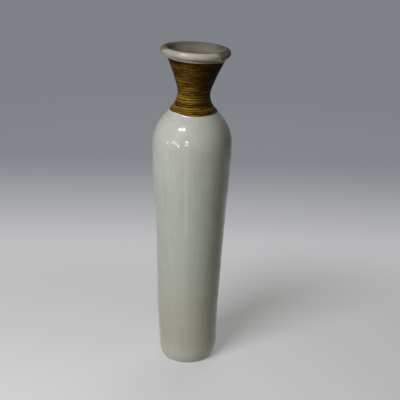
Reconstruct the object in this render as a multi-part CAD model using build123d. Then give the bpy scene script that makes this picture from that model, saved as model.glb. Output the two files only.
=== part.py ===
# Tall bottle vase: one glazed stoneware shell whose recessed neck is wound with two lengths of round cane.
# Sizes are in millimetres. +Z is up, the foot stands on Z = 0 and the axis of the vase is the Z axis.
import os
from math import acos, asin, atan2, ceil, cos, degrees, floor, pi, radians, sin, sqrt

from build123d import *

# Driving sizes of the shell
TOTAL_H = 900.0  # foot to crest of the lip
BELLY_R = 109.0  # widest radius, at the foot of the shoulder
BELLY_DROP = 262.0  # from the crest of the lip down to the widest place
BELLY_ARC = 1590.0  # radius of the long curve below the widest place
HIP_LEAN = 6.4  # degrees the wall leans out where that curve starts
HIP_ARC = 260.0  # radius of the hollow curve between column and belly
COLUMN_LEAN = 2.25  # degrees the straight column leans out
WAIST_R = 43.5  # narrowest radius of the wound neck, over the cane
WAIST_DROP = 123.5  # from the crest of the lip down to the narrowest place
WAIST_ARC = 54.0  # radius of the neck's hollow curve
ROUND_SHARE = 0.945  # share of the fall from belly to waist that is curve, the rest is a straight cone
FLARE_LEAN = 21.4  # degrees the flared neck leans out
WALL = 10.0  # thickness of the shell
LIP_R = 10.7  # radius of the rolled lip
LIP_SET = 1.0  # how far the middle of the roll lies inside the outer face of the flared neck
LIP_BLEND = 42.0  # slant distance from the middle of the roll down to where the wall starts to thicken
COLLAR_H = 9.4  # width of the glazed collar between lip and cane

# Driving sizes of the foot
FOOT_EDGE_Z = 38.0  # height at which the rounded foot edge starts
FOOT_INSET = 11.0  # how far the standing ring lies inside the column
FOOT_LAND = 13.0  # width of the standing ring
RECESS_SLOPE = 5.0  # width of the slope inside the standing ring
RECESS_H = 6.0  # depth of the recess inside the standing ring
FLOOR_T = 14.0  # thickness of the floor above the recess
FLOOR_FILLET = 32.0  # radius between floor and wall inside

# Driving sizes of the winding
CANE_D = 5.5  # diameter of the cane
CANE_GAP = 0.5  # least gap between neighbouring turns
CANE_PROUD = 0.8  # how far the cane stands out of its recess
SEAT_CLEAR = 0.15  # glue film between the cane and the bottom of its recess
LEDGE_CLEAR = 0.3  # gap between the end turns and the ledges of the recess
CONE_SHARE = 0.39  # share of the straight cone that the winding covers
LEAD_TURN = 0.07  # part of a turn over which a straight end bends into the winding
START_ANGLE = -140.0  # degrees round from +X at which both lengths start and end, left of the front


def heading(lean):
    """Unit direction up a wall that leans out by an angle in radians, as radius and height."""
    return Vector(sin(lean), cos(lean))


def inward(lean):
    """Unit direction from the outside of such a wall to its inside."""
    return Vector(-cos(lean), sin(lean))


def bend_end(start, radius, lean_from, lean_to):
    """End of a curve that starts at a lean and ends at another. A hollow curve has a negative radius."""
    return start + (inward(lean_from) - inward(lean_to)) * radius


def bend(start, radius, lean_from, lean_to, depth=0.0):
    """The same curve as an edge, laid parallel inside it by a depth."""
    centre = start + inward(lean_from) * radius
    leans = (lean_from, (lean_from + lean_to) / 2, lean_to)
    points = [centre - inward(lean) * (radius - depth) for lean in leans]
    return ThreePointArc(*points)


# Stations of the outer outline, as radius and height. The cane counts as part of the outline at the neck.
lean_hip = radians(HIP_LEAN)
lean_column = radians(COLUMN_LEAN)
lean_flare = radians(FLARE_LEAN)
belly = Vector(BELLY_R, TOTAL_H - BELLY_DROP)
hip = bend_end(belly, BELLY_ARC, 0.0, lean_hip)
column_top = bend_end(hip, -HIP_ARC, lean_hip, lean_column)
column_foot = column_top - heading(lean_column) * ((column_top.Y - FOOT_EDGE_Z) / cos(lean_column))

# The shoulder curve and the neck curve are joined by the straight cone that touches both
fall_r = BELLY_R - WAIST_R
fall_z = BELLY_DROP - WAIST_DROP
both_arcs = ROUND_SHARE * (fall_r**2 + fall_z**2) / (2 * fall_r)
shoulder_arc = both_arcs - WAIST_ARC
cone_length = sqrt(fall_r**2 + fall_z**2 - 2 * both_arcs * fall_r)
lean_cone = atan2(cone_length, both_arcs) - atan2(fall_z, both_arcs - fall_r)
cone_foot = bend_end(belly, shoulder_arc, 0.0, lean_cone)
cone_top = cone_foot + heading(lean_cone) * cone_length
flare_foot = bend_end(cone_top, -WAIST_ARC, lean_cone, lean_flare)

# The roll of the lip meets the neck's outer face in a groove, and the thickened wall touches it inside
roll_rise = TOTAL_H - LIP_R - flare_foot.Y - inward(lean_flare).Y * LIP_SET
flare_length = roll_rise / cos(lean_flare)
roll = flare_foot + inward(lean_flare) * LIP_SET + heading(lean_flare) * flare_length
lip_fall = sqrt(LIP_R**2 - LIP_SET**2)
collar_top = flare_foot + heading(lean_flare) * (flare_length - lip_fall)
blend_foot = flare_foot + inward(lean_flare) * WALL + heading(lean_flare) * (flare_length - LIP_BLEND)
reach = roll - blend_foot
lean_mouth = atan2(reach.X, reach.Y) - asin(LIP_R / reach.length)
lip_inner = blend_foot + heading(lean_mouth) * sqrt(reach.length**2 - LIP_R**2)
lip_crest = roll + Vector(0, LIP_R)

# The recess for the cane
seat_depth = CANE_D + SEAT_CLEAR - CANE_PROUD
ledge_low = cone_top - heading(lean_cone) * (cone_length * CONE_SHARE)
flare_wound = flare_length - lip_fall - COLLAR_H
ledge_high = flare_foot + heading(lean_flare) * flare_wound

# Foot and floor
foot_outer = Vector(column_foot.X - FOOT_INSET, 0)
foot_inner = Vector(foot_outer.X - FOOT_LAND, 0)
recess_edge = Vector(foot_inner.X - RECESS_SLOPE, RECESS_H)
floor_z = RECESS_H + FLOOR_T
inner_top = column_top + inward(lean_column) * WALL
fillet_line = column_top + inward(lean_column) * (WALL + FLOOR_FILLET)
fillet_drop = (fillet_line.Y - floor_z - FLOOR_FILLET) / cos(lean_column)
fillet_mid = fillet_line - heading(lean_column) * fillet_drop
fillet_wall = fillet_mid - inward(lean_column) * FLOOR_FILLET
fillet_turn = -(pi / 2 + lean_column) / 2
fillet_bulge = fillet_mid + Vector(cos(fillet_turn), sin(fillet_turn)) * FLOOR_FILLET
fillet_floor = fillet_mid - Vector(0, FLOOR_FILLET)


def shell():
    """The whole ceramic body: its section turned about the Z axis."""
    seat_low = ledge_low + inward(lean_cone) * seat_depth
    seat_high = ledge_high + inward(lean_flare) * seat_depth
    outside = [
        Line((0, RECESS_H), recess_edge),
        Line(recess_edge, foot_inner),
        Line(foot_inner, foot_outer),
        TangentArc(column_foot, foot_outer, tangent=-heading(lean_column)),
        Line(column_foot, column_top),
        bend(column_top, -HIP_ARC, lean_column, lean_hip),
        bend(hip, BELLY_ARC, lean_hip, 0.0),
        bend(belly, shoulder_arc, 0.0, lean_cone),
        Line(cone_foot, ledge_low),
        Line(ledge_low, seat_low),
        Line(seat_low, cone_top + inward(lean_cone) * seat_depth),
        bend(cone_top, -WAIST_ARC, lean_cone, lean_flare, seat_depth),
        Line(flare_foot + inward(lean_flare) * seat_depth, seat_high),
        Line(seat_high, ledge_high),
        Line(ledge_high, collar_top),
        ThreePointArc(collar_top, lip_crest, lip_inner),
    ]
    inside = [
        Line(lip_inner, blend_foot),
        Line(blend_foot, flare_foot + inward(lean_flare) * WALL),
        bend(cone_top, -WAIST_ARC, lean_cone, lean_flare, WALL),
        Line(cone_top + inward(lean_cone) * WALL, cone_foot + inward(lean_cone) * WALL),
        bend(belly, shoulder_arc, 0.0, lean_cone, WALL),
        bend(hip, BELLY_ARC, lean_hip, 0.0, WALL),
        bend(column_top, -HIP_ARC, lean_column, lean_hip, WALL),
        Line(inner_top, fillet_wall),
        ThreePointArc(fillet_wall, fillet_bulge, fillet_floor),
        Line(fillet_floor, (0, floor_z)),
    ]
    axis_edge = Line((0, floor_z), (0, RECESS_H))
    section = make_face(Wire(outside + inside + [axis_edge]))
    return revolve(Plane.XZ * section, Axis.Z)


# The line along the middle of the cane, by slant distance up the neck
cane_depth = seat_depth - SEAT_CLEAR - CANE_D / 2
bend_radius = WAIST_ARC + cane_depth
cone_wound = cone_length * CONE_SHARE
bend_wound = bend_radius * (lean_flare - lean_cone)
end_room = CANE_D / 2 + LEDGE_CLEAR
wound_length = cone_wound + bend_wound + flare_wound - 2 * end_room
turns = floor(wound_length / (CANE_D + CANE_GAP))
pitch = wound_length / turns
turns_low = turns // 2


def slant(distance):
    """Radius and height of the cane's middle at a slant distance from the lower ledge."""
    if distance < cone_wound:
        return ledge_low + inward(lean_cone) * cane_depth + heading(lean_cone) * distance
    if distance < cone_wound + bend_wound:
        lean = lean_cone + (distance - cone_wound) / bend_radius
        centre = cone_top - inward(lean_cone) * WAIST_ARC
        return centre + inward(lean) * bend_radius
    beyond = distance - cone_wound - bend_wound
    return flare_foot + inward(lean_flare) * cane_depth + heading(lean_flare) * beyond


def wound_point(turn):
    """Point on the middle of the cane after a number of turns."""
    place = slant(end_room + pitch * turn)
    angle = radians(START_ANGLE) + 2 * pi * turn
    return Vector(place.X * cos(angle), place.X * sin(angle), place.Y)


def wound_heading(turn):
    """Unit direction of the cane there."""
    step = 1e-4
    return (wound_point(turn + step) - wound_point(turn - step)).normalized()


def tangent_arc(start, direction, end):
    """Arc from a point in a direction to another point, through the middle of the arc."""
    chord = end - start
    along = direction.normalized()
    across = (chord - along * chord.dot(along)).normalized()
    swing = 2 * acos(min(1.0, chord.dot(along) / chord.length))
    radius = chord.length / (2 * sin(swing / 2))
    middle = start + along * (radius * sin(swing / 2)) + across * (radius * (1 - cos(swing / 2)))
    return ThreePointArc(start, middle, end), radius


def biarc(start, start_dir, end, end_dir):
    """Two arcs with one tangent where they meet, between two points with given directions."""
    chord = end - start
    lean_sum = start_dir + end_dir
    a = 2 * (start_dir.dot(end_dir) - 1)
    b = -2 * chord.dot(lean_sum)
    c = chord.dot(chord)
    reach_out = (-b - sqrt(b * b - 4 * a * c)) / (2 * a)
    corner_a = start + start_dir * reach_out
    corner_b = end - end_dir * reach_out
    joint = (corner_a + corner_b) / 2
    first, first_radius = tangent_arc(start, start_dir, joint)
    second, second_radius = tangent_arc(joint, corner_b - corner_a, end)
    return [first, second], min(first_radius, second_radius)


def cane_path(first_turn, last_turn):
    """Straight end, biarcs of about a quarter turn up the neck, straight end."""
    steps = 4 * (last_turn - first_turn)
    step = (last_turn - first_turn - 2 * LEAD_TURN) / steps
    marks = [first_turn + LEAD_TURN + step * i for i in range(steps + 1)]
    lead_in = wound_heading(first_turn)
    lead_out = wound_heading(last_turn)
    low_end = wound_point(first_turn)
    high_end = wound_point(last_turn)
    knots = [(low_end + lead_in * CANE_D, lead_in)]
    knots += [(wound_point(mark), wound_heading(mark)) for mark in marks]
    knots += [(high_end - lead_out * CANE_D, lead_out)]
    edges = [Line(low_end, knots[0][0])]
    tightest = 1e9
    for (start, start_dir), (end, end_dir) in zip(knots, knots[1:]):
        arcs, radius = biarc(start, start_dir, end, end_dir)
        edges += arcs
        tightest = min(tightest, radius)
    edges.append(Line(knots[-1][0], high_end))
    return Wire(edges), edges, tightest


def least_gap(edges):
    """Least gap of a wound tube to itself, from points about 3 mm apart and the line between neighbours."""
    points = []
    for edge in edges:
        count = max(2, ceil(edge.length / 3.0))
        points += [edge.position_at(i / count) for i in range(count)]
    along = [0.0]
    for p, q in zip(points, points[1:]):
        along.append(along[-1] + (q - p).length)
    least = 1e9
    for i, p in enumerate(points):
        for j in range(i + 1, len(points) - 1):
            if along[j] - along[i] < 5 * CANE_D:
                continue
            q = points[j]
            if abs(q.Z - p.Z) > 3 * CANE_D:
                continue
            if abs(q.X - p.X) > 2 * CANE_D or abs(q.Y - p.Y) > 2 * CANE_D:
                continue
            run = points[j + 1] - q
            share = min(1.0, max(0.0, (p - q).dot(run) / run.dot(run)))
            least = min(least, (p - q - run * share).length)
    return least - CANE_D


def cane(name, first_turn, last_turn):
    """One length of cane, swept along its path."""
    path, edges, tightest = cane_path(first_turn, last_turn)
    start = Plane(origin=path.position_at(0), z_dir=path.tangent_at(0))
    solid = sweep(sections=start * Circle(CANE_D / 2), path=path)
    length = sum(edge.length for edge in edges)
    share = solid.volume / (pi * CANE_D**2 / 4 * length)
    print(f"{name}: {last_turn - first_turn} turns, {length:.0f} mm of cane, tightest bend {tightest:.1f} mm")
    print(f"{name}: least gap to itself {least_gap(edges):.2f} mm, volume {share:.4f} of section by length")
    return solid


nodes = {
    "vase_body": shell(),
    "lower_cane": cane("lower_cane", 0, turns_low),
    "upper_cane": cane("upper_cane", turns_low, turns),
}
print(f"{turns} turns at {pitch:.2f} mm, cone {cone_length:.1f} mm at {degrees(-lean_cone):.1f} degrees")
print(f"radii: shoulder curve {shoulder_arc:.1f} mm, foot {column_foot.X:.1f} mm, lip {roll.X + LIP_R:.1f} mm")

os.makedirs("parts", exist_ok=True)
for name, solid in nodes.items():
    solid.label = name
    export_step(solid, f"parts/{name}.step")
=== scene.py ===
import math
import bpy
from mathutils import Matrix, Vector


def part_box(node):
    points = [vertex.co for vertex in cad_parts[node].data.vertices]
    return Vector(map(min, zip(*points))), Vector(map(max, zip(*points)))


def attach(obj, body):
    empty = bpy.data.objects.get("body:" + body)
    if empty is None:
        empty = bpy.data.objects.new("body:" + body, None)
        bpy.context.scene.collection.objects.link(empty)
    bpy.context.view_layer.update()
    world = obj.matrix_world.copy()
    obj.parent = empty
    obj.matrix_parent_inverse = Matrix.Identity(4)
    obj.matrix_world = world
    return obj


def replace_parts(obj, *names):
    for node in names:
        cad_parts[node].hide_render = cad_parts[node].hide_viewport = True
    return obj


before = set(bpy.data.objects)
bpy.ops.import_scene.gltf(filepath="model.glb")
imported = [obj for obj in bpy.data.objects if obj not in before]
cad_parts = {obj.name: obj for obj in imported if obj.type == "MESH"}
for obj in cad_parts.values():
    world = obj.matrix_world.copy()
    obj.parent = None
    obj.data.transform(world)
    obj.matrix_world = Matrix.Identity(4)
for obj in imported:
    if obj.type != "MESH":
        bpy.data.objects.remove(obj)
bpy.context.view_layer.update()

from types import SimpleNamespace

import bpy
import numpy as np
from bpy.props import FloatProperty, FloatVectorProperty, IntProperty, PointerProperty
from mathutils import Matrix

bl_info = {
    "name": "Cane-wound bottle vase",
    "version": (1, 0, 0),
    "blender": (4, 5, 0),
    "location": "3D View > Sidebar > Vase",
    "description": "Glazes a bottle vase, winds its neck with cane and sets it on a studio floor",
    "category": "Object",
}


# Sizes and colours


def property_of(maker, **kind):
    """A function that makes one kind of property from its name, description and default value."""

    def make(name, description, default, **more):
        return maker(name=name, description=description, default=default, **kind, **more)

    return make


length = property_of(FloatProperty, unit="LENGTH", subtype="DISTANCE", precision=4)
share = property_of(FloatProperty, min=0.0, max=1.0, subtype="FACTOR")
tone = property_of(FloatVectorProperty, size=3, min=0.0, max=1.0, subtype="COLOR")
power = property_of(FloatProperty, min=0.0, unit="POWER")
count = property_of(IntProperty)


def angle(name, description, degrees):
    turn = property_of(FloatProperty, unit="ROTATION", subtype="ANGLE")
    return turn(name, description, math.radians(degrees))


class VaseShell(bpy.types.PropertyGroup):
    """Sizes of the thrown and fired shell."""

    height: length("Height", "From the standing ring to the crest of the lip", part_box("vase_body")[1].z)
    belly: length("Belly radius", "Radius at the widest place", 0.109)
    belly_drop: length("Belly drop", "From the crest down to the widest place", 0.262)
    belly_curve: length("Belly curve", "Radius of the long curve under the widest place", 1.59)
    hip_lean: angle("Hip lean", "Lean of the wall at the hip", 6.4)
    hip_curve: length("Hip curve", "Radius of the hollow curve into the column", 0.26)
    column_lean: angle("Column lean", "Lean of the column's wall", 2.25)
    waist: length("Waist radius", "Radius at the narrowest place of the neck", 0.0435)
    waist_drop: length("Waist drop", "From the crest down to the narrowest place", 0.1235)
    waist_curve: length("Waist curve", "Radius of the hollow curve at the waist", 0.054)
    round_share: share("Round share", "Share of the shoulder's fall that is curved", 0.945)
    flare_lean: angle("Flare lean", "Lean of the flared neck", 21.4)
    wall: length("Wall", "Thickness of the shell", 0.010)
    lip: length("Lip radius", "Radius of the rolled lip", 0.0107)
    lip_set: length("Lip set", "How far the roll's middle lies inside the neck's outer face", 0.001)
    lip_blend: length("Lip blend", "Slant over which the wall thickens to the lip", 0.042)
    collar: length("Collar", "Bare slant between the winding and the lip", 0.0094)
    foot_edge: length("Foot edge", "Height at which the column rounds into the foot", 0.038)
    foot_inset: length("Foot inset", "How far the standing ring lies inside the column", 0.011)
    foot_land: length("Foot land", "Width of the standing ring", 0.013)
    recess_slope: length("Recess slope", "Run of the sloped edge under the foot", 0.005)
    recess: length("Recess", "Height of the recess under the foot", 0.006)
    floor: length("Floor", "Thickness of the vase's floor", 0.014)
    floor_round: length("Floor round", "Radius of the curve inside the foot", 0.032)
    wash_front: angle("Wash line", "Turn up the lip, from level, at which the wash starts", 67)
    wash_dip: angle("Wash dip", "How far the wash line comes down at the sides and the back", 180)
    fill: share("Fill", "Rise of the clay that fills the groove under the lip", 0.36)
    pinch: share("Pinch", "Share by which the flare is drawn in halfway up", 0.026)
    neck_lean: angle("Neck lean", "How far the neck stands off upright", 2.42)
    neck_foot: length("Neck foot", "Height at which the neck starts to lean", 0.745)
    mouth_off: length("Mouth off", "How far the mouth stands to the left of the neck", 0.0027)
    mouth_sink: length("Mouth sink", "How far the lip has settled in the kiln", 0.0011)
    bead: length("Glaze bead", "Height of the bead of glaze under the winding", 0.0007)
    glaze_round: length("Glaze round", "How far the glaze rounds every edge", 0.0008)


class VaseCane(bpy.types.PropertyGroup):
    """Sizes of the cane and of its winding."""

    thick: length("Cane diameter", "Thickness of the cane", 0.0055)
    gap: length("Cane gap", "Least room between two turns", 0.0005)
    proud: length("Cane proud", "How far the winding stands out of the glaze", 0.0008)
    seat_clear: length("Seat clearance", "Room for glue under the cane", 0.00015)
    ledge_clear: length("Ledge clearance", "Room at the first and the last turn", 0.0003)
    cone_share: share("Cone share", "Share of the neck's foot that is wound", 0.39)
    start: angle("Start", "Direction in which the winding starts", -92)
    tip: share("Tip", "Share of a turn over which the first strand is pared to a tip", 0.125)
    join_back: share("Join", "Share of a turn by which the join lies before the start", 0.133)
    foot_drop: length("Foot drop", "How far the first turn starts below its even place", 0.0016)
    press: share("Press", "1 for an oval strand, less for a squarer one", 0.9)
    width: length("Strand width", "Width of the pressed strand along the neck", 0.00578)
    scarf: length("Scarf", "Slant of the cut at each end of a strand", 0.0045)
    joint: length("Node spacing", "Distance between two nodes of the cane", 0.31)
    round_steps: count("Steps per turn", "Stations round one turn of the winding", 132, min=24)
    strand_sides: count("Strand sides", "Points round one strand", 18, min=6)


class VaseFinish(bpy.types.PropertyGroup):
    """Colours of the glaze, the clay and the cane."""

    glaze_lip: tone("Lip glaze", "Thin warm glaze on the lip", (0.448, 0.419, 0.366))
    glaze_shoulder: tone("Shoulder glaze", "Neutral pale glaze on the shoulder", (0.478, 0.486, 0.446))
    glaze_column: tone("Column glaze", "Celadon glaze on the column", (0.440, 0.482, 0.446))
    glaze_foot: tone("Foot glaze", "Warmer, thinner glaze towards the foot", (0.455, 0.453, 0.410))
    glaze_olive: tone("Olive glaze", "Olive clouds in the glaze", (0.405, 0.412, 0.335))
    # Painted highlight: the white of the glint along the glaze bead under the winding.
    glaze_glint: tone("Glaze pool", "White glaze where it has pooled", (0.640, 0.640, 0.610))
    iron: tone("Iron", "Specks of iron in the glaze", (0.120, 0.085, 0.050))
    clay: tone("Bare clay", "Fired clay of the standing ring", (0.420, 0.330, 0.235))
    inside: tone("Inside", "Dull grey-olive wash inside the vase", (0.268, 0.248, 0.194))
    rim: tone("Rim", "Darker wash over the crest of the lip", (0.128, 0.119, 0.084))
    # Near-black clay under the cane, which shows in the gaps between turns.
    seat: tone("Seat", "Clay stained with glue under the cane", (0.024, 0.015, 0.007))
    cane_gold: tone("Gold cane", "Skin of the cane where it is fresh", (0.300, 0.172, 0.010))
    cane_straw: tone("Straw cane", "Palest fibres of the cane", (0.460, 0.310, 0.080))
    cane_brown: tone("Brown cane", "Smoked stretches of the cane", (0.100, 0.045, 0.003))
    # This dark also paints the shade and the lip's shadow on the cane.
    cane_dark: tone("Dark cane", "Scorched streaks and nodes of the cane", (0.010, 0.004, 0.001))
    cane_red: tone("Red cane", "Reddish dashes in the skin", (0.150, 0.038, 0.008))


class VaseStudio(bpy.types.PropertyGroup):
    """Camera, lamps and backdrop."""

    camera_back: length("Camera distance", "From the vase's axis to the lens, level", 2.300)
    camera_up: length("Camera height", "Height of the lens over the floor", 1.298)
    camera_yaw: angle("Camera turn", "Turn of the camera to the right", 0.65)
    camera_pitch: angle("Camera tilt", "Tilt of the camera below level", 19.7)
    camera_roll: angle("Camera roll", "Roll of the camera", 1.7)
    camera_view: angle("Camera view", "Width of the picture as an angle", 25.68)
    key: power("Key lamp", "Large soft lamp at the left of the camera", 47.0)
    back: power("Back lamp", "Very large soft lamp behind the vase", 20.0)
    gleam: power("Gleam", "Watts per square metre of the lamps for the gloss", 58.0)
    streak: power("Streak", "The same for the streak on the column", 4.2)
    ambient: tone("Ambient", "Even light of the studio", (0.054, 0.053, 0.030))
    backdrop: tone("Backdrop", "Grey of the studio behind the vase", (0.209, 0.220, 0.238))
    bounce_near: tone("Foot bounce", "What the floor throws back onto the foot", (0.520, 0.500, 0.400))
    bounce_far: tone("Floor bounce", "What the floor throws back onto the vase", (0.240, 0.232, 0.150))
    # The floor's colours and glows paint a patch of light round the vase, fading to grey.
    floor_near: tone("Floor", "Pale floor round the vase", (0.600, 0.600, 0.612))
    floor_far: tone("Far floor", "Floor where it fades into the backdrop", (0.060, 0.060, 0.064))
    glow_near: tone("Floor glow", "Glow of the floor round the vase", (0.165, 0.165, 0.170))
    glow_mid: tone("Wide glow", "Glow of the floor further out", (0.470, 0.470, 0.486))
    glow_far: tone("Far glow", "Glow where the floor fades", (0.200, 0.210, 0.231))


# Curves


def ramp(value, low, high):
    """0 below `low`, 1 above `high` and 3t^2 - 2t^3 between them."""
    t = np.clip((value - low) / (high - low), 0.0, 1.0)
    return t * t * (3 - 2 * t)


def turn_ramp(turn, low, high):
    """The same for a turn, between two angles in degrees."""
    return ramp(turn, math.radians(low), math.radians(high))


def bell(value, middle, reach):
    """1 at `middle`, falling off as e to the power of -((value - middle) / reach)^2."""
    return np.exp(-(((value - middle) / reach) ** 2))


def wander(x, seed, waves=6):
    """A hand's slow wander between about -1 and 1: a few sines of unlike length with seeded phases."""
    slowest, quicker, weaker, size = 0.23, 1.62, 0.82, 1.8
    rate = slowest * quicker ** np.arange(waves)
    phase = np.random.default_rng(seed).random(waves)
    weight = weaker ** np.arange(waves)
    return (np.sin(2 * np.pi * (x[..., None] * rate + phase)) * weight).sum(-1) / weight.sum() * size


def heading(lean):
    """Unit direction (radius, height) up a wall that leans outwards by `lean`."""
    return np.stack([np.sin(lean), np.cos(lean)], -1)


def inward(lean):
    """Unit direction (radius, height) square to that wall, into the clay."""
    return np.stack([-np.cos(lean), np.sin(lean)], -1)


def line(start, end, points=60):
    """Evenly spaced points from one place to another."""
    return np.linspace(start, end, points)


def arc(centre, radius, turn_from, turn_to, points=60):
    """Points of a circle between two turns up from level."""
    turn = np.linspace(turn_from, turn_to, points)
    return centre + radius * np.stack([np.cos(turn), np.sin(turn)], -1)


def bend(start, curve, lean_from, lean_to, depth=0.0, points=90):
    """Points of an arc that leaves `start` at one lean and ends at another, `depth` under the surface.

    The centre lies `curve` inward of the start. A point is the centre less the inward direction of its own
    lean times (curve - depth). A hollow arc has a negative curve.
    """
    lean = np.linspace(lean_from, lean_to, points)
    return start + inward(lean_from) * curve - inward(lean) * (curve - depth)


# The vase's template


def stations(shell, cane):
    """Every point and lean of the template, from the sizes, and the turns of the winding.

    The shoulder's and the waist's arcs touch a common cone. With fall_r and fall_z the run and the drop
    from the waist to the belly, both radii add up to round_share * (fall_r^2 + fall_z^2) / (2 fall_r), and
    the cone has the length that closes the figure.
    """
    s = SimpleNamespace(hip_lean=shell.hip_lean, column_lean=shell.column_lean, flare_lean=shell.flare_lean)
    s.belly = np.array([shell.belly, shell.height - shell.belly_drop])
    s.hip = bend(s.belly, shell.belly_curve, 0.0, s.hip_lean)[-1]
    s.column_top = bend(s.hip, -shell.hip_curve, s.hip_lean, s.column_lean)[-1]
    column_length = (s.column_top[1] - shell.foot_edge) / math.cos(s.column_lean)
    s.column_foot = s.column_top - heading(s.column_lean) * column_length
    fall_r, fall_z = shell.belly - shell.waist, shell.belly_drop - shell.waist_drop
    fall = fall_r**2 + fall_z**2
    both = shell.round_share * fall / (2 * fall_r)
    s.shoulder_curve = both - shell.waist_curve
    s.cone_length = math.sqrt(fall - 2 * both * fall_r)
    s.cone_lean = math.atan2(s.cone_length, both) - math.atan2(fall_z, both - fall_r)
    s.cone_foot = bend(s.belly, s.shoulder_curve, 0.0, s.cone_lean)[-1]
    s.cone_top = s.cone_foot + heading(s.cone_lean) * s.cone_length
    s.flare_foot = bend(s.cone_top, -shell.waist_curve, s.cone_lean, s.flare_lean)[-1]

    up, into = heading(s.flare_lean), inward(s.flare_lean)
    s.flare_length = (shell.height - shell.lip - s.flare_foot[1] - into[1] * shell.lip_set) / up[1]
    s.roll = s.flare_foot + into * shell.lip_set + up * s.flare_length
    lip_fall = math.sqrt(shell.lip**2 - shell.lip_set**2)
    s.collar_top = s.flare_foot + up * (s.flare_length - lip_fall)
    s.blend_foot = s.flare_foot + into * shell.wall + up * (s.flare_length - shell.lip_blend)
    reach = s.roll - s.blend_foot
    s.mouth_lean = math.atan2(*reach) - math.asin(shell.lip / np.hypot(*reach))

    s.seat_depth = cane.thick + cane.seat_clear - cane.proud
    s.cane_depth = s.seat_depth - cane.seat_clear - cane.thick / 2
    s.cone_wound = s.cone_length * cane.cone_share
    s.flare_wound = s.flare_length - lip_fall - shell.collar
    s.ledge_low = s.cone_top - heading(s.cone_lean) * s.cone_wound
    s.ledge_high = s.flare_foot + up * s.flare_wound
    s.bend_wound = (shell.waist_curve + s.cane_depth) * (s.flare_lean - s.cone_lean)
    s.end_room = cane.thick / 2 + cane.ledge_clear
    wound = s.cone_wound + s.bend_wound + s.flare_wound - 2 * s.end_room
    s.turns = math.floor(wound / (cane.thick + cane.gap))
    s.pitch = wound / s.turns
    s.join = s.turns // 2
    return s


GLAZED, SEAT, LIP, INSIDE, BARE = range(5)
BEAD_DROP = 0.0021  # from the lower ledge of the winding down to the bead of glaze
BEAD_REACH = 0.0011


def outline(shell, s):
    """The shell's section as runs of (radius, height) points, each with its surface.

    It goes from the axis up the outside, over the lip and down the inside to the axis on the floor.
    """
    ring_out = np.array([s.column_foot[0] - shell.foot_inset, 0.0])
    ring_in = ring_out - [shell.foot_land, 0.0]
    edge = np.array([ring_in[0] - shell.recess_slope, shell.recess])
    axis_low, axis_floor = np.array([0.0, shell.recess]), np.array([0.0, shell.recess + shell.floor])
    chord = s.column_foot - ring_out
    foot_curve = chord @ chord / (-2 * chord @ inward(s.column_lean))
    foot_centre = s.column_foot + inward(s.column_lean) * foot_curve
    first = ring_out - foot_centre
    foot = arc(foot_centre, foot_curve, math.atan2(first[1], first[0]), -s.column_lean)

    depth, wall = s.seat_depth, shell.wall
    hollow, waist = -shell.hip_curve, -shell.waist_curve
    cone = line(s.cone_foot, s.ledge_low, 500)
    swell = shell.bead * bell(np.hypot(*(cone - s.ledge_low).T), BEAD_DROP, BEAD_REACH)
    beaded = cone - inward(s.cone_lean) * swell[:, None]
    seat_low = s.ledge_low + inward(s.cone_lean) * depth
    seat_high = s.ledge_high + inward(s.flare_lean) * depth
    groove = s.collar_top - s.roll
    lip = arc(s.roll, shell.lip, math.atan2(groove[1], groove[0]), math.pi - s.mouth_lean, 160)

    fillet = shell.floor_round
    beside = s.column_foot + inward(s.column_lean) * (wall + fillet)
    drop = beside[1] - (shell.recess + shell.floor + fillet)
    pivot = beside - heading(s.column_lean) * drop / math.cos(s.column_lean)
    inner_foot = arc(pivot, fillet, -s.column_lean, -math.pi / 2)

    return [
        (line(axis_low, edge), BARE),
        (line(edge, ring_in, 12), BARE),
        (line(ring_in, ring_out, 12), BARE),
        (foot, GLAZED),
        (line(s.column_foot, s.column_top), GLAZED),
        (bend(s.hip, hollow, s.hip_lean, s.column_lean)[::-1], GLAZED),
        (bend(s.belly, shell.belly_curve, 0.0, s.hip_lean)[::-1], GLAZED),
        (bend(s.belly, s.shoulder_curve, 0.0, s.cone_lean), GLAZED),
        (beaded, GLAZED),
        (line(s.ledge_low, seat_low, 12), GLAZED),
        (bend(s.cone_top, waist, s.cone_lean, s.flare_lean, depth), SEAT),
        (line(seat_high, s.ledge_high, 12), GLAZED),
        (line(s.ledge_high, s.collar_top, 12), GLAZED),
        (lip, LIP),
        (s.blend_foot[None], INSIDE),
        (bend(s.cone_top, waist, s.cone_lean, s.flare_lean, wall)[::-1], INSIDE),
        (bend(s.belly, s.shoulder_curve, 0.0, s.cone_lean, wall)[::-1], INSIDE),
        (bend(s.belly, shell.belly_curve, 0.0, s.hip_lean, wall), INSIDE),
        (bend(s.hip, hollow, s.hip_lean, s.column_lean, wall), INSIDE),
        (inner_foot, INSIDE),
        (line(inner_foot[-1], axis_floor), INSIDE),
    ]


def softened(runs, blur, step=0.0002):
    """The section averaged over a bell of width `blur`, which rounds its corners.

    Gives evenly spaced points, the surface of each and its travel. Past the axis the section goes on as its
    mirror image, so that both ends stay on the axis.
    """
    points = np.concatenate([run for run, _ in runs])
    surface = np.concatenate([np.full(len(run), kind) for run, kind in runs])
    travel = np.concatenate([[0.0], np.cumsum(np.hypot(*np.diff(points, axis=0).T))])
    at = np.linspace(0.0, travel[-1], int(travel[-1] / step) + 1)
    even = np.stack([np.interp(at, travel, column) for column in points.T], 1)
    reach = int(4 * blur / step)
    weight = np.exp(-0.5 * (np.arange(-reach, reach + 1) * step / blur) ** 2)
    mirrored = np.array([-1.0, 1.0])
    longer = np.concatenate([even[reach:0:-1] * mirrored, even, even[-2 : -reach - 2 : -1] * mirrored])
    soft = np.stack([np.convolve(column, weight / weight.sum(), "valid") for column in longer.T], 1)
    soft[[0, -1], 0] = 0.0
    return soft, surface[np.searchsorted(travel, at).clip(0, len(surface) - 1)], at


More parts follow.
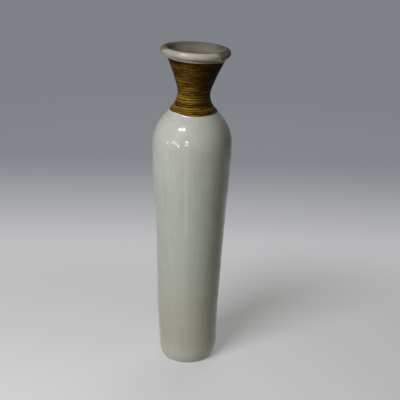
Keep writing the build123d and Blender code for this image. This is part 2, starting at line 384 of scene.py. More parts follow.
def thinned(soft, surface, rows):
    """Places along the section to keep as rows: closer where it turns, and closer on the glaze."""
    glaze_space, inside_space, other_space, turn_space = 0.0042, 0.020, 0.006, math.radians(9)
    run = np.diff(soft, axis=0)
    way = np.unwrap(np.arctan2(run[:, 1], run[:, 0]))
    turn = np.abs(np.diff(way, prepend=way[0]))
    outer_space = np.where(surface[1:] == GLAZED, glaze_space, other_space)
    space = np.where(surface[1:] == INSIDE, inside_space, outer_space)
    effort = np.concatenate([[0.0], np.cumsum(np.hypot(*run.T) / space + turn / turn_space)])
    return np.interp(np.linspace(0.0, effort[-1], rows), effort, np.arange(len(effort)))


def shell_rows(shell, s, rows):
    """The softened section at its kept rows.

    The columns of numbers leave out both ends on the axis. `up_slant` counts from the foot of the winding,
    and a surface is a share from 0 to 1.
    """
    soft, surface, travel = softened(outline(shell, s), shell.glaze_round)
    keep = thinned(soft, surface, rows)

    def kept(values):
        return np.interp(keep, np.arange(len(soft)), values)

    def column(values):
        return kept(values)[1:-1, None]

    return SimpleNamespace(
        radius=column(soft[:, 0]),
        height=column(soft[:, 1]),
        up_slant=column(travel) - travel[np.argmax(surface == SEAT)],
        glazed=column(surface == GLAZED),
        seat=column(surface == SEAT),
        lip=column(surface == LIP),
        inside=column(surface == INSIDE),
        ends=soft[[0, -1], 1],
        share_up=kept(travel) / travel[-1],
    )


# Handwork


COLUMN_BOWS = (  # size, height and reach of each bell by which the column bows to the right
    (0.0024, 0.050, 0.026),
    (-0.0011, 0.165, 0.055),
    (0.0016, 0.420, 0.065),
    (-0.0010, 0.575, 0.045),
)


def leaned(shell, points):
    """The neck set off upright by hand, the mouth off the neck, and the column bowed a little.

    With the softplus W ln(1 + e^((z - foot) / W)) as the height above the neck's foot, a point moves
    sideways by tan(lean) times that height. It moves down by the slope of that move times its own x, so
    that the mouth tips with the neck. A second step, a little lower, keeps the shoulder level. Bells bow
    the column and pinch the flare.
    """
    ease, tip_below = 0.022, 0.020
    pinch_height, pinch_reach = 0.828, 0.030
    mouth_low, mouth_high, mouth_radius, mouth_tilt = 0.866, 0.886, 0.090, 0.0007
    slope = math.tan(shell.neck_lean)
    x, y, z = np.moveaxis(points, -1, 0)
    drawn_in = 1 - shell.pinch * bell(z, pinch_height, pinch_reach)
    x, y = x * drawn_in, y * drawn_in
    above = (z - shell.neck_foot) / ease
    tip = slope / (1 + np.exp(-above)) / (1 + np.exp(-(above + tip_below / ease)))
    mouth = ramp(z, mouth_low, mouth_high)
    bow = sum(size * bell(z, middle, reach) for size, middle, reach in COLUMN_BOWS)
    sideways = slope * ease * np.logaddexp(0.0, above) - shell.mouth_off * mouth + bow
    settled = mouth * (shell.mouth_sink - mouth_tilt * (1 + (x + y) / mouth_radius))
    return np.stack([x + sideways, y, z - tip * x - settled], -1)


def hand_thrown(turned, height):
    """How far the potter's hand leaves the wall off true, in metres.

    Sines over the turn and the height leave it a little out of round, with slow swells and climbing rings.
    They fade out at the foot and at the shoulder.
    """
    oval = 0.00045 * np.cos(2 * turned + 0.7 + 3.0 * height)
    three_sided = 0.00025 * np.cos(3 * turned - 1.1 - 5.0 * height)
    long_swell = 0.00022 * np.sin(2 * np.pi * height / 0.083 + turned)
    short_swell = 0.00016 * np.sin(2 * np.pi * height / 0.047 - 2 * turned + 1.7)
    rings = 0.00006 * np.sin(2 * np.pi * height / 0.0165 + turned + 1.3 * np.sin(11.0 * height))
    inside_ends = ramp(height, 0.012, 0.07) * (1 - ramp(height, 0.62, 0.70))
    return (oval + three_sided + long_swell + short_swell + rings) * inside_ends


def filled_groove(shell, s, points):
    """How far a fill of clay stands off the section under the lip, square to the flare.

    It starts a little off the collar's foot and rises by `fill` for each metre of slant up to the roll.
    """
    fill_foot, fill_end = 0.001, 0.0118
    off = points - s.ledge_high
    along = off @ heading(s.flare_lean)
    proud = -off @ inward(s.flare_lean)
    return np.where(along < fill_end, np.maximum(fill_foot + shell.fill * along - proud, 0.0), 0.0)


def slant(s, shell, at):
    """Place (radius, height) and lean of the winding's centre line, `at` metres up the slant of the neck.

    The lean goes evenly from the cone's to the flare's over the bend. A place is the bend's own point plus
    the run along the heading that is left over before or after the bend.
    """
    lean = np.interp(at, [s.cone_wound, s.cone_wound + s.bend_wound], [s.cone_lean, s.flare_lean])
    centre = s.cone_top - inward(s.cone_lean) * shell.waist_curve
    over = np.minimum(at - s.cone_wound, 0.0) + np.maximum(at - s.cone_wound - s.bend_wound, 0.0)
    return centre + inward(lean) * (shell.waist_curve + s.cane_depth) + heading(lean) * over[..., None], lean


def faded(up_slant):
    """1 at the foot of the winding, 0 from 60 mm up the neck and from 20 mm down the shoulder."""
    return (1 - ramp(up_slant, 0.004, 0.06)) * (1 - ramp(-up_slant, 0.004, 0.02))


def foot_edge(cane, s, around):
    """How far up the slant the edge under the winding lies from its even place, in the direction `around`.

    It starts `foot_drop` below, climbs one pitch with the first turn, and comes down again where that strand
    is pared to a tip.
    """
    turned = (around - cane.start) / (2 * np.pi) % 1.0
    climb = np.minimum(turned, 1 - cane.tip) * (1 - ramp(turned, 1 - cane.tip, 1.0))
    return s.pitch * climb - cane.foot_drop


# Meshes


def linked(name, data):
    """A new object in the scene."""
    piece = bpy.data.objects.new(name, data)
    bpy.context.scene.collection.objects.link(piece)
    return piece


def finish_mesh(name, points, faces, uv, marks, material):
    """A smooth-shaded piece at the origin, with a UV for each corner and marks for its points."""
    mesh = bpy.data.meshes.new(name)
    mesh.from_pydata(points, [], faces)
    mesh.polygons.foreach_set("use_smooth", np.ones(len(mesh.polygons), bool))
    layer = mesh.uv_layers.new(name="OFBake")
    layer.uv.foreach_set("vector", np.asarray(uv, np.float32).ravel())
    for mark, values in marks.items():
        kind, key = ("FLOAT_VECTOR", "vector") if values.ndim == 2 else ("FLOAT", "value")
        mesh.attributes.new(mark, kind, "POINT").data.foreach_set(key, np.asarray(values, np.float32).ravel())
    mesh.materials.append(material)
    mesh.validate()
    mesh.update()
    return linked(name, mesh)


def round_faces(rows, columns):
    """Corners of a grid of quads whose columns close on themselves."""
    i, j = np.meshgrid(np.arange(rows - 1) * columns, np.arange(columns), indexing="ij")
    k = (j + 1) % columns
    return np.stack([i + j, i + k, i + columns + k, i + columns + j], -1).reshape(-1, 4)


def fan(middle, ring, columns, turned=False):
    """Triangles from a middle point to each side of a ring that starts at point number `ring`."""
    j = np.arange(columns)
    sides = [ring + j, ring + (j + 1) % columns]
    return np.stack([np.full(columns, middle), *(sides[::-1] if turned else sides)], 1)


def quad_uv(left, right, low, high):
    """A UV for each corner of a grid of quads, from the edges of its columns and rows."""
    u0, u1, v0, v1 = np.broadcast_arrays(left, right, low, high)
    return np.stack([u0, v0, u1, v0, u1, v1, u0, v1], -1).reshape(-1, 2)


def fan_uv(first, second, middle, ring):
    """The same for a fan of triangles, whose middle and ring have a height each."""
    corners = np.broadcast_arrays((first + second) / 2, middle, first, ring, second, ring)
    return np.stack(corners, -1).reshape(-1, 2)


def capped(values, shape, first=0.0, last=0.0):
    """The values of a grid in one row, between those of the two points on the axis."""
    return np.concatenate([[first], np.broadcast_to(values, shape).ravel(), [last]])


LIP_FRONT = math.radians(-99)  # direction in which the glazed front of the lip faces
WASH_LEFT, WASH_RIGHT = (44, 92), (44, 64)  # degrees off that front between which the wash line comes down


def shell_marks(shell, s, at, t, off_front, crest, z):
    """Where the surfaces and tones of the shell lie, from 0 to 1 at each point.

    A wash line round the lip parts the glaze from the wash: it lies high on the front and dips at the
    sides. Towards the right the wash also covers the collar, part wash and part painted shade under the lip.
    The glaze ends in a wavy line over the foot, and a painted highlight lies along the bead under the
    winding at the front left. One mark gives the painted shade on the lip's underside.
    """
    lip_turn = np.arctan2(at.height - s.roll[1], at.radius - s.roll[0])
    lip_turn = lip_turn + 0.02 * np.sin(9 * t) + 0.03 * np.sin(4 * t + 2)
    dip_from, dip_to = np.radians(np.where(off_front[:, None] < 0, WASH_LEFT, WASH_RIGHT)).T
    wash_line = shell.wash_front - shell.wash_dip * ramp(np.abs(off_front), dip_from, dip_to)
    soft_edge = 0.10 + 0.22 * turn_ramp(off_front, 25, 50)
    on_lip = crest * ramp(lip_turn, wash_line - soft_edge, wash_line + soft_edge)
    # Wash over the collar from the front round to the right and back: part wash, part painted shade under the
    # lip.
    on_collar = 0.7 * crest * at.glazed * turn_ramp(off_front, -12, 30)
    washed = at.inside + np.maximum(on_lip, on_collar)

    wave = 0.00032 * np.sin(3 * t + 0.8) + 0.00022 * np.sin(7 * t - 0.4) + 0.00012 * np.sin(17 * t)
    over_foot = ramp(z, 0.0006 + wave, 0.0014 + wave)
    foot_height, glint_reach, glint_turn = 0.05, 0.0016, -0.1
    glazed = np.where(z < foot_height, at.glazed * over_foot, (at.glazed + at.lip) * (1 - washed))
    # Painted highlight along the bead under the winding, fading away from the front left where the light
    # falls.
    pool = (1 - at.inside) * bell(at.up_slant, -(s.seat_depth + BEAD_DROP), glint_reach)
    pool = pool * (1 - 0.8 * turn_ramp(np.abs(off_front - glint_turn), 8, 40))
    return {
        "glazed": capped(glazed, z.shape),
        "seat": capped(at.seat, z.shape),
        "inside": capped(washed, z.shape, last=1.0),
        "crest": capped(crest, z.shape),
        "pool": capped(pool, z.shape),
        # Painted shade: how much the lip's underside and the collar are darkened.
        "under": capped(crest * ramp(-lip_turn, -0.45, 0.55), z.shape),
        "outer": capped(crest * ramp(-lip_turn, -1.2, -0.1), z.shape),
        "left": capped(0.5 - 0.5 * np.cos(t), z.shape, 0.5, 0.5),
    }


def turned_shell(shell, cane, s, columns=232, rows=400):
    """The section turned round the axis: a point is (r cos t, r sin t, z), and is then leaned.

    The hand's wander is added to r, clay fills the groove under the sides of the lip, and the edge under
    the winding slides along the slant with the first turn.
    """
    above_ledge = 0.0002
    at = shell_rows(shell, s, rows)
    t = np.arange(columns) * 2 * np.pi / columns
    off_front = (t - LIP_FRONT + np.pi) % (2 * np.pi) - np.pi
    outside = 1 - at.inside
    crest = outside * (at.height > s.ledge_high[1] + above_ledge)
    slide = foot_edge(cane, s, t) * faded(at.up_slant) * outside
    slope = heading(slant(s, shell, at.up_slant)[1])
    filled = filled_groove(shell, s, np.stack([at.radius, at.height], -1)) * crest
    filled = filled * turn_ramp(np.abs(off_front), 46, 74)
    square = -inward(s.flare_lean)
    r = at.radius + slide * slope[..., 0] + hand_thrown(t, at.height) * outside + filled * square[0]
    z = at.height + slide * slope[..., 1] + filled * square[1]
    grid = np.stack([r * np.cos(t), r * np.sin(t), z], -1).reshape(-1, 3)
    low_end, high_end = ([[0.0, 0.0, end]] for end in at.ends)
    points = leaned(shell, np.concatenate([low_end, grid, high_end]))

    last = len(points) - 1
    quads = round_faces(rows - 2, columns) + 1
    caps = np.concatenate([fan(0, 1, columns, turned=True), fan(last, last - columns, columns)])
    u0, u1 = np.arange(columns) / columns, np.arange(1, columns + 1) / columns
    v = at.share_up
    uv_quads = quad_uv(u0, u1, v[1:-2, None], v[2:-1, None])
    uv = np.concatenate([uv_quads, fan_uv(u1, u0, 0.0, v[1]), fan_uv(u0, u1, 1.0, v[-2])])
    return points, quads.tolist() + caps.tolist(), uv, shell_marks(shell, s, at, t, off_front, crest, z)


def strand_path(shell, cane, s, turn, tail):
    """Centre line of a strand, and its directions out of the neck, up the slant and along the strand.

    It climbs one pitch a turn along the slant. The first and the last turn close up to their ledges, those
    between wander a little by hand, and a pared end keeps to the ledge beside it.
    """
    close_up, wander_size, held_turns, hand_seed = 0.0002, 0.00024, 1.4, 11
    snug = close_up * (ramp(turn, s.turns - 1, s.turns) - 1 + ramp(turn, 0.0, 1.0))
    free = ramp(turn, 0.0, held_turns) * (1 - ramp(turn, s.turns - held_turns, s.turns))
    pared = np.sign(turn - 1) * (1 - tail) * cane.thick / 2
    shift = snug + wander_size * wander(turn, hand_seed) * free + pared
    level = s.end_room + s.pitch * np.clip(turn, 0, s.turns) + shift
    around = cane.start + 2 * np.pi * turn
    drop = np.where(turn < 0, foot_edge(cane, s, around), -cane.foot_drop)
    place, lean = slant(s, shell, level + drop * faded(level))
    cos, sin = np.cos(around), np.sin(around)
    centre = np.stack([place[:, 0] * cos, place[:, 0] * sin, place[:, 1]], -1)
    out = np.stack([np.cos(lean) * cos, np.cos(lean) * sin, -np.sin(lean)], -1)
    up = np.stack([np.sin(lean) * cos, np.sin(lean) * sin, np.cos(lean)], -1)
    along = np.stack([-sin, cos, np.zeros_like(around)], -1)
    return centre, out, up, along


def cane_nodes(cane, run, seed):
    """1 at each node of the cane and 0 between them: bells about `joint` apart, a little unevenly."""
    uneven, node_reach = 0.55, 0.0022
    number = int(run[-1] / cane.joint)
    draw = np.random.default_rng(seed).random(number)
    places = (np.arange(number) + 0.5 + uneven * (draw - 0.5)) * run[-1] / number
    return bell(run[:, None], places, node_reach).max(1)


LIT_SIDE = math.radians(-125)  # direction of the lit part of the winding; away from it the strands get painted shade


def strand_marks(points, grain, node, cut_end):
    """Grain, nodes, cut ends, height up the winding and painted shade of a strand, at each point.

    A share rises up the winding. Away from the lit direction the strands get painted shade, less at the back,
    and the highest turns get a painted shadow of the lip, less at the back.
    """
    height, direction = points[:, 2], np.arctan2(points[:, 1], points[:, 0])
    away = ramp(0.5 - 0.5 * np.cos(direction - LIT_SIDE), 0.02, 0.26)
    behind = ramp(np.sin(direction), 0.1, 0.8)
    return {
        "grain": grain,
        "node": node,
        "cut_end": cut_end,
        # Rises up the winding; the finish makes the upper turns browner and less varnished by it.
        "smoke": ramp(height, 0.742, 0.862),
        # Painted shade away from the lit direction, from a little above the foot of the winding, less at the
        # back.
        "side": away * ramp(height, 0.734, 0.756) * (1 - 0.75 * behind),
        # Painted shadow of the lip over the highest turns, less at the back.
        "top": ramp(height, 0.853, 0.872) * (1 - 0.5 * behind),
    }


def wound_strand(shell, cane, s, first, last, seed):
    """An oval strand carried round the neck from turn `first` to turn `last`.

    Its section is centre + N h cos(v)^e + B w sin(v)^e, with N out of the neck, B up the slant and e below
    1, which presses it squarer. Width and height wander a little, and nodes swell it. The ends inside the
    winding are cut aslant. The first strand starts in a pared tip. At the collar the last one goes on for
    one more turn, pared narrower until it runs out, which fills the wedge over the turn beside it.
    """
    thinnest, pared_by, pared_run, scarf_run, cut_run = 0.03, 0.16, 0.012, 0.022, 0.003
    width_wander, height_wander, node_width, node_height = 0.022, 0.035, 0.02, 0.05
    uv_margin, rounding = 0.02, 1e-6
    first, last = first - cane.tip * (first == 0), last + (last == s.turns)
    turns = last - first
    steps, sides = int(round(turns * cane.round_steps)), cane.strand_sides
    turn = np.linspace(first, last, steps + 1)
    v = np.arange(sides) * 2 * np.pi / sides
    past = np.maximum(np.maximum(-turn, 0.0) / cane.tip, np.maximum(turn - s.turns, 0.0))
    tail = np.maximum(1 - past, thinnest)
    centre, out, up, along = strand_path(shell, cane, s, turn, tail)
    run = np.concatenate([[0.0], np.cumsum(np.linalg.norm(np.diff(centre, axis=0), axis=1))])
    from_end = np.minimum(run, run[-1] - run)

    node = cane_nodes(cane, run, seed)
    width = cane.width / 2 * tail * (1 + width_wander * wander(turn * 1.7, seed + 1) + node_width * node)
    height = cane.thick / 2 * (1 + height_wander * wander(turn * 1.3, seed + 2) + node_height * node)
    height = height * (1 - pared_by * (1 - ramp(from_end, 0.0, pared_run)))
    cut = cane.scarf / 2 * tail * (1 - ramp(from_end, 0.0, scarf_run))
    section_out, section_up = (np.sign(wave) * np.abs(wave) ** cane.press for wave in (np.cos(v), np.sin(v)))
    outwards = out * height[:, None]
    upwards = up * width[:, None] + along * cut[:, None]
    ring = centre[:, None] + outwards[:, None] * section_out[:, None] + upwards[:, None] * section_up[:, None]
    points = leaned(shell, np.concatenate([ring.reshape(-1, 3), centre[[0, -1]]]))

    start, end, final = len(points) - 2, len(points) - 1, steps * sides
    quads = round_faces(steps + 1, sides)[:, [0, 3, 2, 1]]
    caps = np.concatenate([fan(start, 0, sides), fan(end, final, sides, turned=True)])
    band = np.floor(turn[:-1, None] - first + rounding)
    within = cane.round_steps / (cane.round_steps + 1)
    u0 = (turn[:-1, None] - first - band) * within
    across = uv_margin + (1 - 2 * uv_margin) * np.arange(sides + 1) / sides
    v0, v1 = (band + across[:-1]) / math.ceil(turns), (band + across[1:]) / math.ceil(turns)
    uv_caps = np.tile([[0.001, 0.001], [0.002, 0.001], [0.002, 0.002]], (2 * sides, 1))
    uv = np.concatenate([quad_uv(u0, u0 + turns / steps * within, v0, v1), uv_caps])
    grain = np.stack(np.broadcast_arrays(np.cos(v), np.sin(v), run[:, None]), -1).reshape(-1, 3)
    marks = strand_marks(
        points,
        np.concatenate([grain, [[0.0, 0.0, place] for place in run[[0, -1]]]]),
        np.concatenate([np.repeat(node, sides), [0, 0]]),
        np.concatenate([np.repeat(1 - ramp(from_end, 0.0, cut_run), sides), [1, 1]]),
    )
    return points, quads.tolist() + caps.tolist(), uv, marks


# Finishes


BLACK = (0.0, 0.0, 0.0)


class Value:
    """A node's output; arithmetic on it adds Math nodes."""

    def __init__(self, finish, socket):
        self.finish, self.socket = finish, socket

    def maths(self, operation, first, second):
        return self.finish.node("ShaderNodeMath", {0: first, 1: second}, operation=operation)

    def __add__(self, other):
        return self.maths("ADD", self, other)

    def __sub__(self, other):
        return self.maths("SUBTRACT", self, other)

    def __rsub__(self, other):
        return self.maths("SUBTRACT", other, self)

    def __mul__(self, other):
        return self.maths("MULTIPLY", self, other)

    __radd__, __rmul__ = __add__, __mul__


class Finish:
    """A node tree under construction, of a material or of the world."""

    def __init__(self, owner):
        owner.use_nodes = True
        self.owner, self.tree = owner, owner.node_tree
        self.tree.nodes.clear()

    def node(self, kind, sockets=None, out=0, **options):
        """Adds a node with its options and with each socket's value or link, and gives one output."""
        node = self.tree.nodes.new(kind)
        for key, value in options.items():
            setattr(node, key, value)
        for key, value in (sockets or {}).items():
            socket = node.inputs[key]
            if isinstance(value, Value):
                self.tree.links.new(value.socket, socket)
            elif socket.type == "RGBA":
                socket.default_value = (*value[:3], 1.0)
            else:
                socket.default_value = value
        return Value(self, node.outputs[out]) if node.outputs else None

    def mark(self, name, out="Fac"):
        return self.node("ShaderNodeAttribute", {}, out, attribute_name=name)

    def noise(self, where, scale, detail=2.0, rough=0.5, twist=0.0):
        sockets = {"Vector": where, "Scale": scale, "Detail": detail, "Roughness": rough, "Distortion": twist}
        return self.node("ShaderNodeTexNoise", sockets)

    def ease(self, value, low, high, first=0.0, last=1.0):
        sockets = {0: value, 1: low, 2: high, 3: first, 4: last}
        return self.node("ShaderNodeMapRange", sockets, interpolation_type="SMOOTHSTEP")

    def mix(self, part, first, second, how="MIX"):
        sockets = {0: part, 6: first, 7: second}
        return self.node("ShaderNodeMix", sockets, 2, data_type="RGBA", blend_type=how)

    def stretch(self, where, by):
        return self.node("ShaderNodeVectorMath", {0: where, 1: by}, operation="MULTIPLY")

    def size(self, vector):
        return self.node("ShaderNodeVectorMath", {0: vector}, "Value", operation="LENGTH")

    def bump(self, strength, distance, height):
        return self.node("ShaderNodeBump", {"Strength": strength, "Distance": distance, "Height": height})

    def seen(self):
        """1 for what the camera sees, straight or in a gloss or a glass."""
        rays = ("Is Camera Ray", "Is Glossy Ray", "Is Transmission Ray")
        straight, gloss, glass = (self.node("ShaderNodeLightPath", out=ray) for ray in rays)
        return straight + gloss + glass

    def skin(self, sockets):
        """Ends a material's tree with one shader and gives the material."""
        shader = self.node("ShaderNodeBsdfPrincipled", sockets)
        self.node("ShaderNodeOutputMaterial", {"Surface": shader})
        return self.owner


def glaze_finish(colours):
    """Pale celadon glaze over stoneware.

    The tone goes from neutral on the shoulder through celadon to a warmer foot. Clouds and fine mottling
    vary it, a few iron specks show through, and a painted highlight lies white along the bead under the
    winding. Painted light brightens the glaze near the standing ring, and painted shade darkens the left end
    and the underside of the lip. Bare clay, the dull inside and the near-black seat under the cane have no
    gloss. The wash is darker on the crest, more towards the left where the light falls, which is partly
    painted shade. It also carries painted shade away from its left end and painted light towards it, and
    on the lip's right end painted shade on the crest and painted light on the outer face.
    """
    f = Finish(bpy.data.materials.new("celadon_glaze"))
    where = f.node("ShaderNodeTexCoord", out="Object")
    height = f.node("ShaderNodeSeparateXYZ", {0: where}, out="Z")
    names = ("glazed", "seat", "inside", "pool", "crest", "left", "under", "outer")
    glazed, seat, inside, pool, crest, left, under, outer = (f.mark(name) for name in names)

    clouds = f.noise(where, 7.0, 3.0, 0.55, 0.4)
    mottle = f.noise(f.stretch(where, (1.0, 1.0, 0.55)), 46.0, 4.0, 0.6)
    runs = f.noise(f.stretch(where, (95.0, 95.0, 6.0)), 1.0, 3.0, 0.6)
    blotch = f.noise(f.stretch(where, (1.0, 1.0, 0.7)), 26.0, 3.0, 0.55, 0.3)
    drift = height + (clouds - 0.5) * 0.16
    column = f.ease(drift, 0.16, 0.34) * f.ease(drift + (runs - 0.5) * 0.3, 0.50, 0.67, 1.0, 0.0)
    tone_up = f.mix(column, colours.glaze_shoulder, colours.glaze_column)
    tone_low = f.mix(f.ease(drift, 0.36, 0.04), tone_up, colours.glaze_foot)
    tone_body = f.mix(f.ease(blotch, 0.50, 0.74) * 0.3, tone_low, colours.glaze_olive)
    tone_all = f.mix(crest, tone_body, colours.glaze_lip)
    # Painted light: the glaze is up to 16% lighter near the standing ring, in place of light from the floor.
    painted_foot_light = f.ease(height, 0.075, 0.015, 0.0, 0.16)
    # Painted shade on the left end of the lip, up to 22% darker.
    painted_lip_left_shade = crest * f.ease(left, 0.62, 0.80, 0.0, 0.22)
    depth = 0.80 + 0.12 * clouds + 0.14 * mottle + 0.16 * runs
    # The tone times its random depth, the painted light at the foot and the painted shade on the lip's left
    # end and underside.
    shade = depth * (1 + painted_foot_light - painted_lip_left_shade) * (1 - 0.24 * under)
    grey = f.node("ShaderNodeCombineColor", {0: shade, 1: shade, 2: shade})
    # Painted highlight: white along the bead under the winding.
    with_glint = f.mix(pool * 0.7, f.mix(1.0, tone_all, grey, "MULTIPLY"), colours.glaze_glint)
    speck_field = f.node("ShaderNodeTexVoronoi", {"Vector": where, "Scale": 95.0, "Randomness": 1.0})
    specks = f.ease(speck_field, 0.10, 0.04) * f.ease(f.noise(where, 23.0, 1.0), 0.60, 0.70)
    glaze = f.mix(specks * 0.35, with_glint, colours.iron)

    clay_grain = f.noise(where, 420.0, 4.0, 0.7)
    clay = f.mix(clay_grain, [0.72 * part for part in colours.clay], colours.clay)
    worn = f.noise(where, 60.0, 4.0, 0.65)
    # Random wear darkens the wash, and painted shade darkens it away from its left end and on the crest of
    # the lip's right end.
    thick = f.ease(left, 0.95, 0.45, 0.0, 0.22) + crest * (1 - outer) * f.ease(left, 0.22, 0.08, 0.0, 0.26)
    wash = f.mix(worn * 0.3 + thick, colours.inside, BLACK)
    # Painted light on the wash: lighter towards its left end and on the outer face of the lip's right end.
    painted_wash_light = f.ease(left, 0.62, 0.95) * 0.3 + outer * f.ease(left, 0.20, 0.08)
    inner = f.mix(painted_wash_light, wash, colours.glaze_lip)
    # The crest takes the darker rim wash, more towards the left where the light falls, which is partly
    # painted shade.
    dull = f.mix(crest * (0.15 + 0.75 * left), inner, colours.rim)
    bare = f.mix(seat, f.mix(inside, clay, dull), colours.seat)

    ripple = f.noise(where, 30.0, 2.0, 0.45)
    peel = f.noise(where, 240.0, 2.0, 0.5)
    relief = glazed * (ripple * 0.16 + peel * 0.016) + (1 - glazed) * clay_grain * 0.35
    return f.skin({
        "Base Color": f.mix(glazed, bare, glaze),
        "Roughness": 0.78 - glazed * (0.56 - 0.06 * mottle),
        "Normal": f.bump(0.35, 0.0009, relief),
        "Coat Weight": glazed * (0.6 + 0.4 * crest),
        "Coat Roughness": 0.03,
        "Coat IOR": 1.5,
        "Specular IOR Level": 0.2,
        "IOR": 1.45,
    })


def cane_finish(colours):
    """Varnished cane.

    Fibres run along each strand: noise on the strand's own grain, drawn out along its length. Brown
    stretches, more of them towards the upper turns, dark scorched streaks, reddish dashes and pale straw
    fibres lie over the gold skin, and the nodes are dark rings. Painted shade darkens the grooves between
    turns and the strands away from the lit direction, and a painted shadow of the lip lies over the highest
    turns.
    """
    f = Finish(bpy.data.materials.new("varnished_cane"))
    grain = f.mark("grain", "Vector")
    across = f.node("ShaderNodeSeparateXYZ", {0: grain}, out="X")
    names = ("node", "cut_end", "smoke", "side", "top")
    node, cut_end, smoke, side, top = (f.mark(name) for name in names)
    fine = f.noise(f.stretch(grain, (9.0, 9.0, 55.0)), 1.0, 3.0, 0.6)
    streak = f.noise(f.stretch(grain, (1.1, 1.1, 34.0)), 1.0, 4.0, 0.66)
    patch = f.noise(f.stretch(grain, (0.30, 0.30, 7.0)), 1.0, 3.0, 0.6)
    dash = f.noise(f.stretch(grain, (2.2, 2.2, 34.0)), 1.3, 3.0, 0.55)
    # Brown patches, with more brown towards the upper turns.
    browned = f.mix(f.ease(patch + smoke * 0.22, 0.35, 0.62), colours.cane_gold, colours.cane_brown)
    straw = f.mix(f.ease(fine, 0.55, 0.78) * 0.7, browned, colours.cane_straw)
    red = f.mix(f.ease(dash, 0.62, 0.70) * 0.7, straw, colours.cane_red)
    scorched = f.mix(f.ease(streak + smoke * 0.05, 0.53, 0.60) * 0.96, red, colours.cane_dark)
    # Painted shade in the grooves between turns: the flanks and the inner face of each strand are darker.
    stained = f.mix(f.ease(across, 0.72, 0.15) * 0.85, scorched, colours.cane_dark)
    ringed = f.mix(node * 0.85, stained, colours.cane_dark)
    cut = f.mix(cut_end * 0.55, ringed, colours.cane_dark)
    return f.skin({
        # Painted shade on the strands away from the lit direction, and a painted shadow of the lip over the
        # highest turns.
        "Base Color": f.mix(side * 0.60 + top * (1 - side) * 0.74, cut, colours.cane_dark),
        "Roughness": 0.36 + 0.22 * streak,
        "Normal": f.bump(0.5, 0.0004, fine * 0.7 + streak * 0.3),
        "Coat Weight": 0.22 - 0.18 * smoke,
        "Coat Roughness": 0.1,
        "Specular IOR Level": 0.02,
        "IOR": 1.45,
    })


def floor_finish(studio):
    """Matt studio floor with a painted patch of light: pale round the vase, fading to the backdrop's grey
    behind and before it.
    """
    f = Finish(bpy.data.materials.new("studio_floor"))
    where = f.node("ShaderNodeTexCoord", out="Object")
    around, away = f.size(where), f.size(f.stretch(where, (0.3, 1.0, 1.0)))
    seen = f.seen()
    bounce = f.mix(f.ease(around, 0.12, 0.42), studio.bounce_near, studio.bounce_far)
    pale = f.mix(f.ease(away, 0.30, 1.1), studio.floor_near, studio.floor_far)
    wide = f.mix(f.ease(away, 0.60, 2.05), studio.glow_mid, studio.glow_far)
    glow = f.mix(f.ease(away, 0.30, 1.0), studio.glow_near, wide)
    return f.skin({
        "Base Color": f.mix(seen, bounce, pale),
        "Roughness": 0.9,
        "Specular IOR Level": 0.1,
        "Emission Color": f.mix(seen, BLACK, glow),
        "Emission Strength": 1.0,
    })


# Operators


def settings(context):
    scene = context.scene
    return scene.vase_shell, scene.vase_cane, scene.vase_finish, scene.vase_studio


def facing(azimuth, elevation, roll):
    """Right, up and back of a lamp or a camera that stands off in that direction, counted from the front.

    With B back from the vase and L level, right is L cos(roll) + (B x L) sin(roll) and up is B x right.
    """
    level = np.array([np.cos(azimuth), np.sin(azimuth), 0.0])
    ahead = np.array([-np.sin(azimuth), np.cos(azimuth), 0.0])
    back = np.array([0.0, 0.0, np.sin(elevation)]) - ahead * np.cos(elevation)
    right = level * np.cos(roll) + np.cross(back, level) * np.sin(roll)
    return right, np.cross(back, right), back


def placed(right, up, back, place):
    """Matrix of an object whose X, Y and Z axes point to the right, up and back."""
    return Matrix(np.vstack([np.column_stack([right, up, back, place]), [0, 0, 0, 1]]).tolist())


class VASE_OT_glazed_body(bpy.types.Operator):
    """Turns the shell from its template and glazes it"""

    bl_idname = "vase.glazed_body"
    bl_label = "Glazed body"

    def execute(self, context):
        shell, cane, colours, _ = settings(context)
        parts = turned_shell(shell, cane, stations(shell, cane))
        piece = finish_mesh("glazed_body", *parts, glaze_finish(colours))
        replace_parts(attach(piece, "root"), "vase_body")
        return {"FINISHED"}


class VASE_OT_neck_windings(bpy.types.Operator):
    """Winds both lengths of cane round the neck"""

    bl_idname = "vase.neck_windings"
    bl_label = "Neck windings"

    def execute(self, context):
        shell, cane, colours, _ = settings(context)
        s = stations(shell, cane)
        join = s.join - cane.join_back
        skin = cane_finish(colours)
        for name, node, first, last, seed in (
            ("lower_winding", "lower_cane", 0, join, 3),
            ("upper_winding", "upper_cane", join, s.turns, 8),
        ):
            piece = finish_mesh(name, *wound_strand(shell, cane, s, first, last, seed), skin)
            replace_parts(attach(piece, "root"), node)
        return {"FINISHED"}


GLEAM_LAMPS = (  # name, azimuth with elevation and distance, width with height, roll, strength
    ("window_lamp", (-42.5, 45.0, 2.2), (0.80, 0.27), 19, 1.0),
    ("window_flank_lamp", (-37.0, 53.5, 2.2), (0.34, 0.22), 19, 0.2),
    ("upper_dot_lamp", (-14.5, 14.0, 3.0), (0.58, 0.13), 5, 1.15),
    ("lower_dot_lamp", (-15.5, 5.0, 3.0), (0.40, 0.11), 5, 1.15),
    ("far_speck_lamp", (-74.0, 2.5, 2.6), (0.10, 0.30), -21, 0.7),
    ("faint_speck_lamp", (-62.5, 2.5, 2.6), (0.15, 0.10), 14, 0.5),
    ("speck_lamp", (-56.0, 7.0, 2.6), (0.24, 0.17), 30, 1.0),
    ("near_speck_lamp", (-45.5, 4.5, 2.6), (0.20, 0.14), -20, 1.3),
    ("low_speck_lamp", (-39.5, 1.0, 2.6), (0.16, 0.13), 9, 1.1),
)


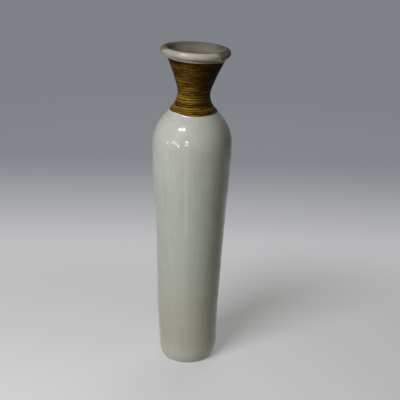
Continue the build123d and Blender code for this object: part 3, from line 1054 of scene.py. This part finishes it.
class VASE_OT_studio(bpy.types.Operator):
    """Lays the floor and sets the backdrop, the lamps and the camera"""

    bl_idname = "vase.studio"
    bl_label = "Studio"

    def execute(self, context):
        studio = settings(context)[3]
        context.scene.view_settings.view_transform = "Standard"
        self.floor(studio)
        self.lamps(studio)
        self.backdrop(context.scene, studio)
        self.camera(context.scene, studio)
        return {"FINISHED"}

    def floor(self, studio):
        """A flat disc: a point is (R cos t, R sin t, 0), with R growing as the square of its step."""
        columns, rows, edge = 96, 40, 14.0
        t = np.arange(columns) * 2 * np.pi / columns
        reach = edge * (np.arange(1, rows + 1)[:, None] / rows) ** 2
        grid = np.stack([reach * np.cos(t), reach * np.sin(t), np.zeros((rows, columns))], -1).reshape(-1, 3)
        faces = (round_faces(rows, columns)[:, ::-1] + 1).tolist() + fan(0, 1, columns).tolist()
        mesh = bpy.data.meshes.new("studio_floor")
        mesh.from_pydata(np.concatenate([[[0, 0, 0]], grid]), [], faces)
        mesh.materials.append(floor_finish(studio))
        floor = linked("studio_floor", mesh)

    def lamps(self, studio):
        """A key lamp and a back lamp that light the vase, and lamps that only show in its gloss."""
        middle, shoulder, column = (0, 0, 0.45), (-0.03, -0.08, 0.70), (-0.01, -0.1, 0.52)
        self.lamp("key_lamp", studio.key, middle, (-36, 32, 2.3), (1.2, 1.2), shines=False)
        self.lamp("back_lamp", studio.back, middle, (170, 38, 2.7), (2.4, 2.4), shines=False)
        for name, place, size, roll, strength in GLEAM_LAMPS:
            watts = studio.gleam * strength * math.prod(size)
            self.lamp(name, watts, shoulder, place, size, roll, lights=False)
        size = (0.08, 0.24)
        watts = studio.streak * math.prod(size)
        self.lamp("streak_lamp", watts, column, (-17, -27, 0.57), size, lights=False)

    def lamp(self, name, watts, aim, place, size, roll=0, shines=True, lights=True):
        """A rectangular lamp turned to `aim`, at an azimuth, an elevation and a distance from there.

        One that doesn't shine lights the vase without showing in its gloss. One that doesn't light shows
        only there.
        """
        azimuth, elevation, away = place
        right, up, back = facing(*np.radians([azimuth, elevation, roll]))
        data = bpy.data.lights.new(name, "AREA")
        data.shape, data.energy = "RECTANGLE", watts
        data.size, data.size_y = size
        lamp = linked(name, data)
        lamp.matrix_world = placed(right, up, back, aim + away * back)
        lamp.visible_glossy, lamp.visible_diffuse, lamp.visible_camera = shines, lights, False

    def backdrop(self, scene, studio):
        """The camera and the gloss see the studio's grey; every other ray gets the even light."""
        f = Finish(bpy.data.worlds.new("studio"))
        colour = f.mix(f.seen(), studio.ambient, studio.backdrop)
        sky = f.node("ShaderNodeBackground", {"Color": colour})
        f.node("ShaderNodeOutputWorld", {"Surface": sky})
        scene.world = f.owner

    def camera(self, scene, studio):
        """The photograph's camera: turned by its yaw, tilted by its pitch, then rolled."""
        turns = facing(-studio.camera_yaw, studio.camera_pitch, studio.camera_roll)
        data = bpy.data.cameras.new("camera")
        data.sensor_fit, data.angle = "HORIZONTAL", studio.camera_view
        camera = linked("camera", data)
        camera.matrix_world = placed(*turns, [0.0, -studio.camera_back, studio.camera_up])
        scene.camera = camera


class VASE_PT_sidebar(bpy.types.Panel):
    """Pieces and sizes of the vase"""

    bl_label = "Bottle vase"
    bl_idname = "VASE_PT_sidebar"
    bl_space_type = "VIEW_3D"
    bl_region_type = "UI"
    bl_category = "Vase"

    def draw(self, context):
        for operator in OPERATORS:
            self.layout.operator(operator.bl_idname)
        for group in settings(context):
            box = self.layout.box()
            for key in group.__annotations__:
                box.prop(group, key)


GROUPS = {
    "vase_shell": VaseShell,
    "vase_cane": VaseCane,
    "vase_finish": VaseFinish,
    "vase_studio": VaseStudio,
}
OPERATORS = (VASE_OT_glazed_body, VASE_OT_neck_windings, VASE_OT_studio)
CLASSES = (*GROUPS.values(), *OPERATORS, VASE_PT_sidebar)


def register():
    for each in CLASSES:
        bpy.utils.register_class(each)
    for name, group in GROUPS.items():
        setattr(bpy.types.Scene, name, PointerProperty(type=group))


def unregister():
    for name in GROUPS:
        delattr(bpy.types.Scene, name)
    for each in reversed(CLASSES):
        bpy.utils.unregister_class(each)


def main():
    register()
    bpy.ops.vase.glazed_body()
    bpy.ops.vase.neck_windings()
    bpy.ops.vase.studio()


if __name__ == "__main__":
    main()
